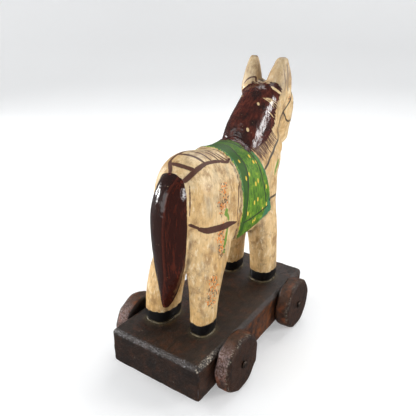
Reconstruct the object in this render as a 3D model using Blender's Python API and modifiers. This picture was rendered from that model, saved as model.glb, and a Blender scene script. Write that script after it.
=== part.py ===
"""A carved and painted wooden horse standing on a plank with four wheels.

The horse is one carved block: trunk, neck, head, ears, legs, tail and the raised
saddle cloth. It stands glued on a plank. Four wheels turn on nails that are driven
into the plank's sides. Metres, +Z up, the head towards -Y, the origin on the ground
under the middle of the whole toy, from the muzzle to the plank's rear end.
"""
import math

import bmesh
import bpy
from mathutils import Matrix, Vector

# The plank
PLANK_WIDTH = 0.061
PLANK_LENGTH = 0.129
PLANK_THICKNESS = 0.0217
PLANK_EDGE = 0.0022          # worn bevel round the top face
PLANK_ARRIS = 0.0008         # slight rounding of its other edges
PLANK_CLEARANCE = 0.0056     # from the ground up to the plank's underside

# The wheels and the nails that they turn on
WHEEL_RADIUS = 0.01595
WHEEL_THICKNESS = 0.0091
WHEEL_EDGE = 0.0011
WHEEL_FLATS = 24             # hand-cut rims have small flats, one of them down
WHEEL_GAP = 0.0010           # from the plank's side to the wheel
AXLE_FROM_END = 0.0288       # from the plank's end to the nail
NAIL_RADIUS = 0.0011
NAIL_DEPTH = 0.012           # driven into the plank
NAIL_HEAD_RADIUS = 0.0022
NAIL_HEAD_THICKNESS = 0.0009
NAIL_SIDES = 16
FIT_GAP = 0.0003             # between pieces that touch
BEVEL_FROM = math.radians(40)

# The horse, from its soles to its ear tips
HORSE_HEIGHT = 0.1441
HORSE_SHIFT = 0.0013         # it stands a little to the left of the plank's middle
CLOTH_RELIEF = 0.0013        # how far the carved saddle cloth stands proud
CARVING_GRAIN = 0.0011       # size of the cells that the carved forms are fused in
CARVING_ROUNDS = 10          # rounds of smoothing over the corners between the forms
CARVING_FACES = 6400         # triangles kept on the horse

# The figure is drawn on a grid of 144 steps from sole to ear tip. The places and sizes
# of its carved details are in these steps: x from the horse's middle, y along the plank
# and z from the soles.
STEP = HORSE_HEIGHT / 144
EYE_PLACE = (11.5, -70.0, 113.5)
EYE_SIZE = (1.4, 3.0, 2.1)
NOSTRIL_PLACE = (5.6, -79.6, 93.4)
NOSTRIL_SIZE = (1.4, 1.5, 1.9)
MOUTH_PLACE = (0.0, -80.5, 87.2)
MOUTH_SIZE = (24.0, 9.0, 0.9)
MOUTH_LEAN = -38             # degrees, the lips slope with the muzzle

# The hand carving left the two sides unlike: height of the ear tips, how far the ears
# stand out at their roots and tips, and half width and half depth of the hind hooves
LEFT, RIGHT = 1, -1
EAR_TIPS = {LEFT: 143.9, RIGHT: 142.9}
ROOT_SPREAD = {LEFT: 1.2, RIGHT: 0.6}
TIP_SPREAD = {LEFT: 0.0, RIGHT: 0.5}
HIND_HOOVES = {LEFT: (8.2, 11.2), RIGHT: (6.2, 7.8)}

# Heights of the horse's soles and of the wheel axles
PLANK_TOP = PLANK_CLEARANCE + PLANK_THICKNESS
SOLE_HEIGHT = PLANK_TOP + FIT_GAP
AXLE_HEIGHT = WHEEL_RADIUS

# The muzzle reaches out ahead of the plank, so the plank's middle stands behind the origin
MUZZLE_REACH = 81.24 * STEP
PLANK_MIDDLE = (MUZZLE_REACH - PLANK_LENGTH / 2) / 2


def clear_scene():
    for old in list(bpy.data.objects):
        bpy.data.objects.remove(old, do_unlink=True)


def new_collection(name):
    collection = bpy.data.collections.new(name)
    bpy.context.scene.collection.children.link(collection)
    return collection


def new_material(name, colour, roughness, metallic=0.0):
    material = bpy.data.materials.new(name)
    material.use_nodes = True
    shader = material.node_tree.nodes["Principled BSDF"]
    shader.inputs["Base Color"].default_value = (*colour, 1.0)
    shader.inputs["Roughness"].default_value = roughness
    shader.inputs["Metallic"].default_value = metallic
    return material


def add_object(name, shape, collection, material=None):
    """An object made from a bmesh, which is used up."""
    mesh = bpy.data.meshes.new(name)
    shape.to_mesh(mesh)
    shape.free()
    if material:
        mesh.materials.append(material)
    thing = bpy.data.objects.new(name, mesh)
    collection.objects.link(thing)
    return thing


def add_guide(name, shape, collection):
    """A helper that other objects are cut or joined with."""
    guide = add_object(name, shape, collection)
    guide.hide_render = True
    guide.display_type = "WIRE"
    return guide


def add_boolean(thing, other, operation):
    modifier = thing.modifiers.new(operation.title(), "BOOLEAN")
    modifier.operation = operation
    modifier.object = other


# Lofts: closed forms through a row of key sections

def flow(keys, steps):
    """Sections read from a smooth curve through the key sections."""
    ends = [keys[0]] + keys + [keys[-1]]
    rows = []
    for before, start, end, after in zip(ends, ends[1:], ends[2:], ends[3:]):
        for step in range(steps):
            t = step / steps
            row = []
            for a, b, c, d in zip(before, start, end, after):
                bend = (2 * a - 5 * b + 4 * c - d) * t * t
                turn = (3 * b - 3 * c + d - a) * t * t * t
                row.append(b + (c - a) * t / 2 + bend / 2 + turn / 2)
            rows.append(row)
    rows.append(keys[-1])
    return rows


def ring(centre, across, up, half_width, half_depth, squareness, sides):
    """A superellipse: squareness 2 is round, and higher values are more like a block."""
    points = []
    for side in range(sides):
        turn = math.tau * side / sides
        cos, sin = math.cos(turn), math.sin(turn)
        wide = math.copysign(abs(cos) ** (2 / squareness), cos) * half_width
        deep = math.copysign(abs(sin) ** (2 / squareness), sin) * half_depth
        points.append(centre + across * wide + up * deep)
    return points


def loft(shape, keys, level=None, steps=5, sides=28):
    """Add a closed form to shape.

    Each key is (x, y, z, half width, half depth, squareness) in grid steps. Its rings
    stand square to the path, or to the level direction where one is given.
    """
    rows = flow(keys, steps)
    centres = [Vector(row[:3]) * STEP for row in rows]
    rings = []
    for index, row in enumerate(rows):
        ahead = centres[min(index + 1, len(rows) - 1)]
        behind = centres[max(index - 1, 0)]
        along = level or (ahead - behind).normalized()
        up = along.cross(Vector((1, 0, 0))).normalized()
        across = up.cross(along).normalized()
        points = ring(centres[index], across, up, row[3] * STEP, row[4] * STEP, row[5], sides)
        rings.append([shape.verts.new(point) for point in points])
    for lower, upper in zip(rings, rings[1:]):
        for side in range(sides):
            near = (side + 1) % sides
            shape.faces.new((lower[side], lower[near], upper[near], upper[side]))
    shape.faces.new(reversed(rings[0]))
    shape.faces.new(rings[-1])


def mirrored(keys, side):
    return [(side * key[0], *key[1:]) for key in keys]


# The carved forms in grid steps. Each key is (x, y, z, half width, half depth, squareness).

def trunk(shape):
    keys = [
        (0, -52.8, 66.0, 8.0, 14.0, 2.8),
        (0, -50.5, 65.0, 13.5, 23.5, 2.9),
        (0, -42.0, 65.0, 16.6, 29.5, 2.9),
        (0, -22.0, 66.2, 17.4, 30.2, 2.5),
        (0, -3.0, 66.5, 17.4, 29.5, 2.5),
        (0, 14.0, 67.4, 17.6, 30.2, 2.4),
        (0, 28.0, 68.8, 17.6, 30.2, 2.3),
        (0, 37.0, 68.8, 16.4, 27.2, 2.4),
        (0, 42.5, 68.0, 12.0, 21.0, 2.6),
    ]
    loft(shape, keys, level=Vector((0, 1, 0)))


def neck(shape):
    keys = [
        (0, -28.0, 62.0, 14.4, 21.0, 2.5),
        (0, -33.5, 81.0, 13.8, 22.0, 2.4),
        (0, -40.5, 97.0, 13.0, 19.6, 2.4),
        (0, -47.5, 109.0, 12.6, 16.0, 2.4),
        (0, -54.0, 118.0, 12.2, 13.0, 2.4),
        (0, -57.5, 123.5, 10.0, 8.5, 2.4),
    ]
    loft(shape, keys)


def head(shape):
    keys = [
        (0, -55.0, 122.0, 9.5, 9.0, 2.4),
        (0, -59.5, 117.0, 12.8, 13.8, 2.7),
        (0, -65.0, 109.5, 13.0, 15.2, 2.7),
        (0, -69.6, 101.5, 10.6, 12.4, 2.6),
        (0, -71.8, 95.5, 8.4, 9.6, 2.6),
        (0, -72.8, 90.5, 7.8, 8.6, 2.7),
        (0, -73.6, 87.0, 6.8, 7.4, 2.6),
        (0, -74.0, 85.4, 4.6, 5.2, 2.4),
    ]
    loft(shape, keys)


def ear(shape, side):
    tip = EAR_TIPS[side]
    root_out = ROOT_SPREAD[side]
    tip_out = TIP_SPREAD[side]
    keys = [
        (6.4, -56.5, 112.0, 5.0, 7.5, 2.4),
        (7.0 + root_out, -56.5, 119.0, 6.8, 10.2, 2.5),
        (7.6 + root_out, -56.4, 125.5, 6.8, 10.2, 2.5),
        (8.4 + tip_out, -56.3, 133.0, 5.8, 8.2, 2.5),
        (9.1 + tip_out, -56.2, tip - 5.0, 4.3, 5.4, 2.5),
        (9.5 + tip_out, -56.0, tip, 2.8, 2.8, 2.6),
    ]
    loft(shape, mirrored(keys, side), level=Vector((0, 0, 1)), sides=18)


def foreleg(shape, side):
    keys = [
        (13.0, -38.6, -3.0, 7.7, 9.2, 2.9),
        (13.0, -38.6, 8.0, 7.7, 9.2, 2.9),
        (12.2, -38.4, 22.0, 7.9, 9.8, 2.8),
        (10.8, -38.4, 36.0, 8.4, 10.8, 2.7),
        (8.8, -37.6, 52.0, 8.6, 11.8, 2.6),
        (6.4, -36.0, 68.0, 8.0, 12.0, 2.5),
    ]
    loft(shape, mirrored(keys, side), level=Vector((0, 0, 1)), sides=24)


def hind_leg(shape, side):
    hoof_width, hoof_depth = HIND_HOOVES[side]
    keys = [
        (side * 14.2, 35.2, -3.0, hoof_width, hoof_depth, 2.7),
        (side * 14.2, 35.0, 7.0, hoof_width, hoof_depth, 2.7),
        (side * 13.8, 33.4, 18.0, hoof_width + 0.1, hoof_depth + 1.2, 2.7),
        (side * 12.9, 30.0, 31.0, hoof_width + 0.3, 13.0, 2.7),
        (side * 10.4, 24.8, 43.0, 8.0, 18.0, 2.6),
        (side * 8.4, 24.0, 58.0, 8.6, 18.4, 2.5),
        (side * 6.4, 23.0, 74.0, 8.0, 17.0, 2.4),
    ]
    loft(shape, keys, level=Vector((0, 0, 1)), sides=24)


def tail(shape):
    keys = [
        (-0.6, 34.0, 87.0, 5.0, 4.0, 2.0),
        (-0.6, 40.0, 87.0, 7.2, 5.6, 1.9),
        (-0.6, 44.2, 81.0, 9.4, 7.6, 1.8),
        (-0.6, 45.6, 70.0, 10.8, 8.8, 1.8),
        (-0.4, 46.2, 56.0, 11.0, 8.6, 1.8),
        (0.0, 46.8, 41.0, 9.4, 7.0, 1.8),
        (0.4, 47.6, 28.0, 6.4, 4.8, 1.8),
        (0.8, 48.2, 17.0, 2.4, 2.2, 2.0),
    ]
    loft(shape, keys, sides=24)


def carving_blank():
    """Every form of the horse in one mesh, still running through each other."""
    shape = bmesh.new()
    trunk(shape)
    neck(shape)
    head(shape)
    tail(shape)
    for side in (LEFT, RIGHT):
        ear(shape, side)
        foreleg(shape, side)
        hind_leg(shape, side)
    return shape


def fuse(thing, rounds):
    """Make one skin of forms that run through each other, and smooth it."""
    skin = thing.modifiers.new("Skin", "REMESH")
    skin.mode = "VOXEL"
    skin.voxel_size = CARVING_GRAIN
    soften = thing.modifiers.new("Soften", "SMOOTH")
    soften.factor = 0.5
    soften.iterations = rounds


def thin_out(thing, faces):
    """Keep about this many triangles."""
    thin = thing.modifiers.new("Thin", "DECIMATE")
    depsgraph = bpy.context.evaluated_depsgraph_get()
    dense = thing.evaluated_get(depsgraph).data
    thin.ratio = faces / sum(len(face.vertices) - 2 for face in dense.polygons)


def ball(place, half_sizes, name, collection):
    """A small ellipsoid, for an eye or a nostril."""
    shape = bmesh.new()
    bmesh.ops.create_uvsphere(shape, u_segments=12, v_segments=8, radius=1)
    bmesh.ops.scale(shape, vec=Vector(half_sizes) * STEP, verts=shape.verts)
    bmesh.ops.translate(shape, vec=Vector(place) * STEP, verts=shape.verts)
    return add_guide(name, shape, collection)


def mouth_cut(collection):
    """The saw cut between the lips: a thin slab that leans with the muzzle."""
    shape = bmesh.new()
    bmesh.ops.create_cube(shape, size=1)
    bmesh.ops.scale(shape, vec=Vector(MOUTH_SIZE) * STEP, verts=shape.verts)
    lean = Matrix.Rotation(math.radians(MOUTH_LEAN), 3, "X")
    bmesh.ops.rotate(shape, matrix=lean, verts=shape.verts)
    bmesh.ops.translate(shape, vec=Vector(MOUTH_PLACE) * STEP, verts=shape.verts)
    return add_guide("mouth_cut", shape, collection)


def carve_face(horse, guides):
    """Eyes that stand a little proud, and a nostril on each side above the mouth."""
    mouth = mouth_cut(guides)
    place_figure(mouth)
    add_boolean(horse, mouth, "DIFFERENCE")
    for side, name in ((LEFT, "left"), (RIGHT, "right")):
        eye_place, nostril_place = mirrored([EYE_PLACE, NOSTRIL_PLACE], side)
        eye = ball(eye_place, EYE_SIZE, f"eye_{name}", guides)
        nostril = ball(nostril_place, NOSTRIL_SIZE, f"nostril_{name}", guides)
        place_figure(eye)
        place_figure(nostril)
        add_boolean(horse, eye, "UNION")
        add_boolean(horse, nostril, "DIFFERENCE")


def cloth_outline(collection):
    """A slab through the horse whose side outline is the saddle cloth's."""
    outline = [
        (-16.8, 120.0), (-16.8, 97.0), (-17.6, 92.0), (-22.6, 84.0), (-27.2, 75.0),
        (-31.0, 63.0), (-34.6, 53.6), (-33.6, 51.2), (-29.5, 49.4),
        (-21.5, 46.0), (-10.4, 43.8), (0.0, 42.4), (2.6, 46.0),
        (3.9, 56.0), (2.8, 66.0), (3.2, 76.0), (5.2, 88.0), (8.0, 98.0), (8.0, 120.0),
    ]
    half_width = HORSE_HEIGHT / 4
    shape = bmesh.new()
    near = [shape.verts.new((-half_width, y * STEP, z * STEP)) for y, z in outline]
    far = [shape.verts.new((half_width, y * STEP, z * STEP)) for y, z in outline]
    count = len(outline)
    for index in range(count):
        after = (index + 1) % count
        shape.faces.new((near[index], near[after], far[after], far[index]))
    shape.faces.new(reversed(near))
    shape.faces.new(far)
    return add_guide("cloth_outline", shape, collection)


def place_figure(thing):
    thing.location = (HORSE_SHIFT, PLANK_MIDDLE, SOLE_HEIGHT)


def make_cloth(guides):
    """The saddle cloth: the same carving, grown a little, within the cloth's outline."""
    outline = cloth_outline(guides)
    cloth = add_guide("cloth_form", carving_blank(), guides)
    place_figure(outline)
    place_figure(cloth)
    fuse(cloth, CARVING_ROUNDS)
    grow = cloth.modifiers.new("Grow", "DISPLACE")
    grow.strength = CLOTH_RELIEF
    grow.mid_level = 0.0
    fuse(cloth, 4)
    thin_out(cloth, CARVING_FACES)
    add_boolean(cloth, outline, "INTERSECT")
    return cloth


def sole_cut(guides):
    """A block under the soles, which levels them."""
    shape = bmesh.new()
    bmesh.ops.create_cube(shape, size=HORSE_HEIGHT)
    bmesh.ops.scale(shape, vec=(1, 2, 1), verts=shape.verts)
    bmesh.ops.translate(shape, vec=(0, 0, -HORSE_HEIGHT / 2), verts=shape.verts)
    return add_guide("sole_cut", shape, guides)


def make_horse(collection, guides, material):
    horse = add_object("horse", carving_blank(), collection, material)
    level = sole_cut(guides)
    place_figure(horse)
    place_figure(level)
    fuse(horse, CARVING_ROUNDS)
    thin_out(horse, CARVING_FACES)
    add_boolean(horse, level, "DIFFERENCE")
    add_boolean(horse, make_cloth(guides), "UNION")
    carve_face(horse, guides)


# The plank, the wheels and the nails

def axle_places():
    """Name, side and place of each axle where it meets the plank's side."""
    reach = PLANK_LENGTH / 2 - AXLE_FROM_END
    for end, along in (("front", PLANK_MIDDLE - reach), ("rear", PLANK_MIDDLE + reach)):
        for side, sign in (("left", LEFT), ("right", RIGHT)):
            yield f"{end}_{side}", sign, Vector((sign * PLANK_WIDTH / 2, along, AXLE_HEIGHT))


def cylinder(radius, length, sides, flat_down=False):
    """A cylinder along X that starts at x = 0. With flat_down, radius is to its flats."""
    shape = bmesh.new()
    corner = radius / math.cos(math.pi / sides) if flat_down else radius
    bmesh.ops.create_cone(shape, cap_ends=True, segments=sides, radius1=corner,
                          radius2=corner, depth=length)
    turn = math.pi / sides if flat_down else 0
    for vert in shape.verts:
        x, y, z = vert.co
        along = z + length / 2
        cos, sin = math.cos(turn), math.sin(turn)
        vert.co = (along, x * cos - y * sin, x * sin + y * cos)
    return shape


def bevel(thing, width, segments):
    modifier = thing.modifiers.new("Bevel", "BEVEL")
    modifier.width = width
    modifier.segments = segments
    modifier.limit_method = "ANGLE"
    modifier.angle_limit = BEVEL_FROM


def make_plank(collection, guides, material):
    shape = bmesh.new()
    bmesh.ops.create_cube(shape, size=1)
    bmesh.ops.scale(shape, vec=(PLANK_WIDTH, PLANK_LENGTH, PLANK_THICKNESS), verts=shape.verts)
    top = [edge for edge in shape.edges if all(vert.co.z > 0 for vert in edge.verts)]
    bmesh.ops.bevel(shape, geom=top, offset=PLANK_EDGE, segments=2, profile=0.5, affect="EDGES")
    plank = add_object("plank", shape, collection, material)
    plank.location = (0, PLANK_MIDDLE, PLANK_CLEARANCE + PLANK_THICKNESS / 2)
    bevel(plank, PLANK_ARRIS, 1)
    for name, sign, place in axle_places():
        depth = NAIL_DEPTH + FIT_GAP
        hole = add_guide(f"hole_{name}", cylinder(NAIL_RADIUS + FIT_GAP, 2 * depth, NAIL_SIDES), guides)
        hole.location = place - Vector((depth, 0, 0))
        add_boolean(plank, hole, "DIFFERENCE")


def make_wheel(name, sign, place, collection, guides, material):
    wheel = add_object(f"wheel_{name}", cylinder(WHEEL_RADIUS, WHEEL_THICKNESS, WHEEL_FLATS, True),
                       collection, material)
    bevel(wheel, WHEEL_EDGE, 1)
    bore = add_guide(f"bore_{name}", cylinder(NAIL_RADIUS + FIT_GAP, 3 * WHEEL_THICKNESS, NAIL_SIDES),
                     guides)
    hub = place + Vector((sign * WHEEL_GAP, 0, 0))
    wheel.location = hub
    bore.location = hub - Vector((sign * WHEEL_THICKNESS, 0, 0))
    if sign < 0:
        wheel.rotation_euler.z = bore.rotation_euler.z = math.pi
    add_boolean(wheel, bore, "DIFFERENCE")


def make_nail(name, sign, place, collection, material):
    """A turned nail: a shank from inside the plank out through the wheel, and its head."""
    head_start = WHEEL_GAP + WHEEL_THICKNESS + FIT_GAP
    head_end = head_start + NAIL_HEAD_THICKNESS
    profile = [
        (0, head_end), (NAIL_HEAD_RADIUS * 0.7, head_end),
        (NAIL_HEAD_RADIUS, head_start + NAIL_HEAD_THICKNESS / 3),
        (NAIL_HEAD_RADIUS, head_start), (NAIL_RADIUS, head_start),
        (NAIL_RADIUS, 2 * NAIL_RADIUS - NAIL_DEPTH), (0, -NAIL_DEPTH),
    ]
    shape = bmesh.new()
    corners = [shape.verts.new((radius, 0, along)) for radius, along in profile]
    for start, end in zip(corners, corners[1:]):
        shape.edges.new((start, end))
    mesh = bpy.data.meshes.new(f"nail_{name}")
    shape.to_mesh(mesh)
    shape.free()
    mesh.materials.append(material)
    nail = bpy.data.objects.new(f"nail_{name}", mesh)
    collection.objects.link(nail)
    screw = nail.modifiers.new("Turn", "SCREW")
    screw.axis = "Z"
    screw.steps = screw.render_steps = NAIL_SIDES
    screw.use_merge_vertices = True
    screw.merge_threshold = 0.00005
    nail.location = place
    nail.rotation_euler.y = sign * math.pi / 2


def main():
    clear_scene()
    parts = new_collection("wooden_horse_on_wheels")
    guides = new_collection("guides")
    painted_wood = new_material("painted_wood", (0.62, 0.50, 0.33), 0.35)
    dark_wood = new_material("dark_stained_wood", (0.045, 0.028, 0.022), 0.5)
    steel = new_material("nail_steel", (0.22, 0.20, 0.18), 0.5, 0.9)
    make_horse(parts, guides, painted_wood)
    make_plank(parts, guides, dark_wood)
    for name, sign, place in axle_places():
        make_wheel(name, sign, place, parts, guides, dark_wood)
        make_nail(name, sign, place, parts, steel)


main()
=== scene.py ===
# %% [markdown]
# # A painted wooden horse on wheels
#
# This lesson dresses a small carved toy: a cream horse with a dark mane, a raised green
# saddle cloth and a plank that rolls on four nailed discs. The solid model comes first and
# never moves. Everything here is laid over it: a finer skin for the carving, paint that
# follows brush strokes, worn stain on the plank and hand-cut rims on the wheels.
#
# Lengths in this file are in millimetres unless a name says otherwise, and the head looks
# towards -Y.

# %% Load the solid model
import math

import bmesh
import bpy
import numpy as np
from mathutils import Matrix, Vector, noise
from mathutils.bvhtree import BVHTree
from mathutils.geometry import convex_hull_2d
from mathutils.kdtree import KDTree


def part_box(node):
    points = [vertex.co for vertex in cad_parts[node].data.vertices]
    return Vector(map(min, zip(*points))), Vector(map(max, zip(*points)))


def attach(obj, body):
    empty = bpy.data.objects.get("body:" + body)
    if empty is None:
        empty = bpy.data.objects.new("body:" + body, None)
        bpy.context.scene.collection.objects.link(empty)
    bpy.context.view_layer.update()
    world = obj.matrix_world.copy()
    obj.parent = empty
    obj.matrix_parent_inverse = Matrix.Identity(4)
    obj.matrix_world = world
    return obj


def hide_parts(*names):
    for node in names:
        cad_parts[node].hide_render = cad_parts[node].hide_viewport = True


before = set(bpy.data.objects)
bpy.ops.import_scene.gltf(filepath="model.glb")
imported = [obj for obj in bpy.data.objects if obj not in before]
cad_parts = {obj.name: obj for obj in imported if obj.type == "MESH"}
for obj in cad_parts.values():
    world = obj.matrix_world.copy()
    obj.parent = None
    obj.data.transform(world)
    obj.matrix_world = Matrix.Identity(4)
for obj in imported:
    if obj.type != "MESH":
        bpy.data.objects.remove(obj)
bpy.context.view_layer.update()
MM = 0.001
WELD = 0.001 * MM
CARRIER = "horse_and_plank"
plank_low, plank_high = (Vector(corner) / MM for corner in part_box("plank"))
PLANK_TOP = plank_high.z
SOLES = PLANK_TOP + 0.3
horse_high = Vector(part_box("horse")[1]) / MM
HORSE_MIDDLE = 1.3
print("loaded", ", ".join(sorted(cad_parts)))

# %% [markdown]
# ## The camera
#
# The camera stands behind the horse and a little to its right, and looks down on it. Its
# place comes from the perspective of the plank: two vanishing directions and the round
# wheels fix the lens, the distance and the angle. A matrix of three axes and a place sets
# all of it at once, so nothing is nudged by hand.

# %% Set the camera
LENS = 40.37
AIM = Vector((7.987, 8.398, 85.41))
AROUND = math.radians(214.265)
ABOVE = math.radians(21.369)
ROLL = math.radians(0.234)
DISTANCE = 282.53

backwards = Vector((math.sin(AROUND) * math.cos(ABOVE), -math.cos(AROUND) * math.cos(ABOVE),
                    math.sin(ABOVE)))
level_right = Vector((0, 0, 1)).cross(backwards).normalized()
level_up = backwards.cross(level_right)
right = level_right * math.cos(ROLL) + level_up * math.sin(ROLL)
up = backwards.cross(right)


def link(made):
    """Put a new object into the scene."""
    bpy.context.scene.collection.objects.link(made)
    return made


camera = link(bpy.data.objects.new("camera", bpy.data.cameras.new("camera")))
camera.data.lens = LENS
camera.data.sensor_width = 36
camera.data.clip_start = 0.01
place = (AIM + backwards * DISTANCE) * MM
camera.matrix_world = Matrix((
    (right.x, up.x, backwards.x, place.x),
    (right.y, up.y, backwards.y, place.y),
    (right.z, up.z, backwards.z, place.z),
    (0, 0, 0, 1),
))
bpy.context.scene.camera = camera
print("camera at", [round(value / MM, 1) for value in place], "mm")

# %% [markdown]
# ## A small language for node trees
#
# Materials and geometry trees are both graphs of nodes. Written link by link they are hard
# to read, so a `Socket` wraps one output and overloads the arithmetic operators: an
# expression such as `1 - mask * 0.5` adds its own Math nodes. Every other node comes from
# one method, `node`, which takes its type, its settings and the values of its sockets.

# %% Wrap sockets and graphs
class Socket:
    """One output of a node, on which sums can be written."""

    def __init__(self, graph, output):
        self.graph = graph
        self.output = output

    def math(self, operation, *others):
        return self.graph.node("ShaderNodeMath", {"operation": operation}, dict(enumerate((self, *others))))

    def __add__(self, other):
        return self.math("ADD", other)

    def __sub__(self, other):
        return self.math("SUBTRACT", other)

    def __mul__(self, other):
        return self.math("MULTIPLY", other)

    def __truediv__(self, other):
        return self.math("DIVIDE", other)

    def __rsub__(self, other):
        return self.math("MULTIPLY_ADD", -1.0, other)

    def __rtruediv__(self, other):
        return self.math("POWER", -1.0) * other

    __radd__ = __add__
    __rmul__ = __mul__

    def between(self, low, high):
        """0 below low, 1 above high and a smooth ramp from one to the other."""
        names = {"Value": self, "From Min": low, "From Max": high}
        return self.graph.node("ShaderNodeMapRange", {"interpolation_type": "SMOOTHSTEP"}, names)

    def least(self, other):
        return self.math("MINIMUM", other)

    def most(self, other):
        return self.math("MAXIMUM", other)


class Graph:
    """A node tree that is written with node()."""

    def __init__(self, tree):
        self.tree = tree

    def node(self, kind, settings=None, values=None, out=0):
        made = self.tree.nodes.new(kind)
        for name, setting in (settings or {}).items():
            setattr(made, name, setting)
        for name, value in (values or {}).items():
            if isinstance(value, Socket):
                self.tree.links.new(value.output, made.inputs[name])
            else:
                made.inputs[name].default_value = value
        return Socket(self, made.outputs[out])

    def vector(self, operation, *values, out=0):
        return self.node("ShaderNodeVectorMath", {"operation": operation}, dict(enumerate(values)), out)

    def scaled(self, vector, factor):
        return self.node("ShaderNodeVectorMath", {"operation": "SCALE"}, {0: vector, "Scale": factor})

    def lumps(self, place, seed, scale, detail=2.0, out=0):
        """Soft noise in metres, for geometry."""
        values = {"Vector": place, "W": seed, "Scale": scale, "Detail": detail}
        return self.node("ShaderNodeTexNoise", {"noise_dimensions": "4D"}, values, out)

    def split(self, vector):
        """The x, y and z of a vector."""
        parts = self.node("ShaderNodeSeparateXYZ", None, {0: vector}).output.node
        return [Socket(self, output) for output in parts.outputs]


class Finish(Graph):
    """A material on its way: its shader's sockets are set by coat()."""

    def __init__(self, name):
        self.material = bpy.data.materials.new(name)
        self.material.use_nodes = True
        super().__init__(self.material.node_tree)
        self.shader = self.tree.nodes["Principled BSDF"]
        self.place = self.scaled(self.node("ShaderNodeTexCoord", out="Object"), 1 / MM)

    def coat(self, **values):
        for name, value in values.items():
            socket = self.shader.inputs[name.replace("_", " ").title().replace("Ior", "IOR")]
            if isinstance(value, Socket):
                self.tree.links.new(value.output, socket)
            else:
                socket.default_value = value

    def attribute(self, name):
        return self.node("ShaderNodeAttribute", {"attribute_name": name}, out="Fac")

    def stretched(self, x, y, z):
        """The place in millimetres, stretched along its axes before a pattern reads it."""
        return self.vector("MULTIPLY", self.place, (x, y, z))

    def cloud(self, size, detail=3.0, roughness=0.55, place=None, seed=0.0):
        """Soft noise from 0 to 1 whose lumps are about size millimetres wide."""
        values = {"Vector": place or self.place, "W": seed, "Scale": 1 / size, "Detail": detail,
                  "Roughness": roughness}
        return self.node("ShaderNodeTexNoise", {"noise_dimensions": "4D"}, values)

    def mix(self, share, first, second):
        """first where share is 0 and second where it is 1, as colours."""
        names = {0: share, 6: first, 7: second}
        return self.node("ShaderNodeMix", {"data_type": "RGBA"}, names, out=2)

    def lay(self, under, *layers):
        """Colours laid over one another, each with the share of it that covers."""
        for share, over in layers:
            under = self.mix(share, under, over)
        return under

    def relief(self, height, depth, strength):
        """A bump whose height of 1 stands depth millimetres proud."""
        return self.node("ShaderNodeBump", None,
                         {"Strength": strength, "Distance": depth * MM, "Height": height})


def colour(red, green, blue):
    """A colour written in the 0 to 255 steps of a picture, made linear."""
    steps = (red / 255, green / 255, blue / 255)
    return (*((step / 12.92 if step < 0.04045 else ((step + 0.055) / 1.055) ** 2.4) for step in steps), 1.0)


def show(name, mesh):
    """A new object in the scene, shaded smooth."""
    for face in mesh.polygons:
        face.use_smooth = True
    return link(bpy.data.objects.new(name, mesh))


print("node language ready")

# %% [markdown]
# ## A finer skin over the carving
#
# The solid horse has flat facets a few millimetres wide, which is enough to collide and
# to weigh. A real carving is rounder: knife cuts, then sandpaper, then thick paint. The
# skin here is a voxel remesh of a merged copy, eased with a few rounds of smoothing. Its
# points are under a millimetre apart, so they can also carry the paint.

# %% Make the fine skin
def read_points(mesh):
    """The mesh's points and normals in millimetres, as arrays."""
    points = np.empty(3 * len(mesh.vertices))
    mesh.vertices.foreach_get("co", points)
    normals = np.empty(3 * len(mesh.vertices))
    mesh.vertices.foreach_get("normal", normals)
    return points.reshape(-1, 3) / MM, normals.reshape(-1, 3)


def write_points(mesh, points):
    mesh.vertices.foreach_set("co", (points * MM).ravel())
    mesh.update()


def write_attribute(mesh, name, values):
    attribute = mesh.attributes.new(name, "FLOAT", "POINT")
    attribute.data.foreach_set("value", np.asarray(values, dtype=np.float32))


def evaluated(holder, name):
    """The plain mesh that an object's modifiers give. The object itself is removed."""
    depsgraph = bpy.context.evaluated_depsgraph_get()
    result = bpy.data.meshes.new_from_object(holder.evaluated_get(depsgraph))
    result.name = name
    bpy.data.objects.remove(holder)
    return result


def fine_skin(node, grain, rounds):
    """A closed and even mesh over a solid node, with no material yet."""
    shape = bmesh.new()
    shape.from_mesh(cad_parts[node].data)
    bmesh.ops.remove_doubles(shape, verts=shape.verts, dist=WELD)
    mesh = bpy.data.meshes.new(f"{node}_rough")
    shape.to_mesh(mesh)
    shape.free()
    rough = link(bpy.data.objects.new(f"{node}_rough", mesh))
    skin = rough.modifiers.new("Skin", "REMESH")
    skin.mode = "VOXEL"
    skin.voxel_size = grain * MM
    ease = rough.modifiers.new("Ease", "SMOOTH")
    ease.factor = 0.5
    ease.iterations = rounds
    fine = evaluated(rough, f"{node}_skin")
    fine.materials.clear()
    return fine


def neighbour_mean(mesh, values, rounds):
    """Values averaged over neighbouring points, a few times."""
    edges = np.empty(2 * len(mesh.edges), dtype=np.int64)
    mesh.edges.foreach_get("vertices", edges)
    start, end = edges.reshape(-1, 2).T
    count = np.bincount(edges, minlength=len(mesh.vertices)).astype(float)
    result = np.array(values, dtype=float)
    for _ in range(rounds):
        total = np.zeros_like(result)
        np.add.at(total, start, result[end])
        np.add.at(total, end, result[start])
        result = (result + total / (count if result.ndim == 1 else count[:, None])) / 2
    return result


HORSE_GRAIN = 0.9
HORSE_EASE = 8
horse_mesh = fine_skin("horse", HORSE_GRAIN, HORSE_EASE)
points, normals = read_points(horse_mesh)
print("horse skin:", len(points), "points,", 2 * len(horse_mesh.polygons), "triangles")

# %% [markdown]
# ## Carving
#
# A few forms need more than the solid gives: the crisp edge of the saddle cloth, the
# hollows of the ears, the ridge down the tail, the eyes, the nostrils and the lips. Each is
# a small rule that says how far every point moves along its normal. Outlines are drawn as
# seen from the side, in (y, z), and a signed distance tells how deep inside a point is.

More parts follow.
